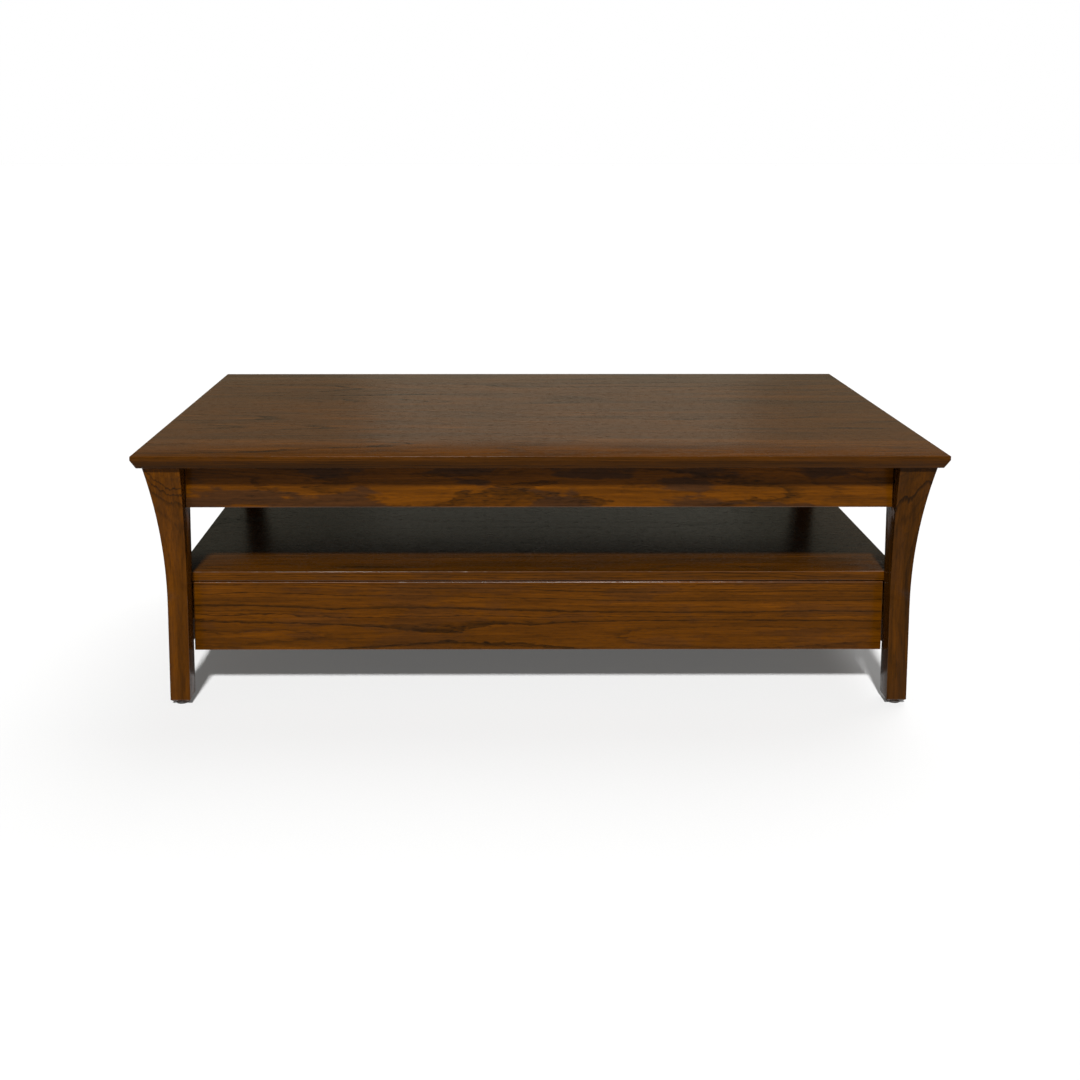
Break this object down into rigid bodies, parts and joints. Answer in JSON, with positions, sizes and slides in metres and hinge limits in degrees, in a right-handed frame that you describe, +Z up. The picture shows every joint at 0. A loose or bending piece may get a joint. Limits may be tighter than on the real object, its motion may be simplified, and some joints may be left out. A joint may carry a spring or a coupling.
{
  "type": "lift top coffee table",
  "caption": "Rectangular dark oak coffee table with flared legs, an open shelf, a flush drawer below it and a top that lifts and comes forward on a four-bar linkage.",
  "frame": {"origin": "on the floor under the middle of the closed table", "axes": "+X along the table to the right as seen from the front, +Y to the back, +Z up; the drawer and the lifted top come towards -Y"},
  "size_m": [1.27, 0.66, 0.422],
  "materials": {
    "stained_oak": "dark stained oak with open grain, satin lacquer",
    "block_wood": "plain sawn hardwood, unfinished",
    "drawer_wood": "birch, thin clear lacquer",
    "compartment_panel": "stained plywood, matt lacquer",
    "black_steel": "black powder coat on folded steel",
    "zinc_steel": "bright zinc plate on rolled steel",
    "pin_steel": "zinc plated steel rivets and pins",
    "spring_steel": "oiled spring steel wire",
    "glide_plastic": "moulded nylon glide",
    "bush_plastic": "moulded nylon bush",
    "bumper_rubber": "soft self-adhesive rubber dot"
  },
  "bodies": {
    "table_frame": {"leg_front_left": "stained_oak", "leg_front_right": "stained_oak", "leg_back_left": "stained_oak", "leg_back_right": "stained_oak", "foot_glide_front_left": "glide_plastic", "foot_glide_front_right": "glide_plastic", "foot_glide_back_left": "glide_plastic", "foot_glide_back_right": "glide_plastic", "lid_bumper_front_left": "bumper_rubber", "lid_bumper_front_right": "bumper_rubber", "lid_bumper_back_left": "bumper_rubber", "lid_bumper_back_right": "bumper_rubber", "apron_front": "stained_oak", "apron_back": "stained_oak", "apron_left": "stained_oak", "apron_right": "stained_oak", "corner_block_front_left": "block_wood", "corner_block_front_right": "block_wood", "corner_block_back_left": "block_wood", "corner_block_back_right": "block_wood", "compartment_floor": "compartment_panel", "shelf": "stained_oak", "case_back": "stained_oak", "case_side_left": "stained_oak", "case_side_right": "stained_oak", "slide_packer_left": "drawer_wood", "slide_packer_right": "drawer_wood", "slide_outer_left": "zinc_steel", "slide_outer_right": "zinc_steel", "base_channel_left": "black_steel", "base_channel_right": "black_steel", "pivot_bush_left": "bush_plastic", "pivot_bush_right": "bush_plastic", "lift_spring_left": "spring_steel", "lift_spring_right": "spring_steel", "arm_stop_left": "pin_steel", "arm_stop_right": "pin_steel", "rear_pivot_pin_left": "pin_steel", "rear_pivot_pin_right": "pin_steel"},
    "drawer": {"drawer_front": "stained_oak", "drawer_side_left": "drawer_wood", "drawer_side_right": "drawer_wood", "drawer_back": "drawer_wood", "drawer_bottom": "compartment_panel", "slide_inner_left": "zinc_steel", "slide_inner_right": "zinc_steel"},
    "left_slide_middle": {"slide_middle_left": "zinc_steel"},
    "right_slide_middle": {"slide_middle_right": "zinc_steel"},
    "front_arms": {"cross_tube": "black_steel", "front_arm_left": "black_steel", "front_arm_right": "black_steel"},
    "left_rear_arm": {"rear_arm_left": "black_steel"},
    "right_rear_arm": {"rear_arm_right": "black_steel"},
    "lid": {"top_panel": "stained_oak", "top_channel_left": "black_steel", "top_channel_right": "black_steel", "front_top_pin_left": "pin_steel", "front_top_pin_right": "pin_steel", "rear_top_pin_left": "pin_steel", "rear_top_pin_right": "pin_steel"}
  },
  "joints": [
    {"name": "lift", "type": "hinge", "parent": "table_frame", "child": "front_arms", "pos_m": [0, -0.1905, 0.356], "axis": [1, 0, 0], "range_deg": [0, 122], "deforming": ["lift_spring_left", "lift_spring_right"]},
    {"name": "top_level", "type": "hinge", "parent": "front_arms", "child": "lid", "pos_m": [0, 0.0576, 0.387], "axis": [1, 0, 0], "range_deg": [-122, 0]},
    {"name": "left_rear_arm_turn", "type": "hinge", "parent": "table_frame", "child": "left_rear_arm", "pos_m": [-0.5612, -0.1205, 0.356], "axis": [1, 0, 0], "range_deg": [0, 122]},
    {"name": "right_rear_arm_turn", "type": "hinge", "parent": "table_frame", "child": "right_rear_arm", "pos_m": [0.5612, -0.1205, 0.356], "axis": [1, 0, 0], "range_deg": [0, 122]},
    {"name": "drawer_slide", "type": "slide", "parent": "table_frame", "child": "drawer", "axis": [0, -1, 0], "range_m": [0, 0.4]},
    {"name": "left_slide_middle_travel", "type": "slide", "parent": "table_frame", "child": "left_slide_middle", "axis": [0, -1, 0], "range_m": [0, 0.2]},
    {"name": "right_slide_middle_travel", "type": "slide", "parent": "table_frame", "child": "right_slide_middle", "axis": [0, -1, 0], "range_m": [0, 0.2]}
  ],
  "couplings": [
    {"joint": "top_level", "follows": "lift", "ratio": -1},
    {"joint": "left_rear_arm_turn", "follows": "lift", "ratio": 1},
    {"joint": "right_rear_arm_turn", "follows": "lift", "ratio": 1},
    {"joint": "left_slide_middle_travel", "follows": "drawer_slide", "ratio": 0.5},
    {"joint": "right_slide_middle_travel", "follows": "drawer_slide", "ratio": 0.5}
  ]
}
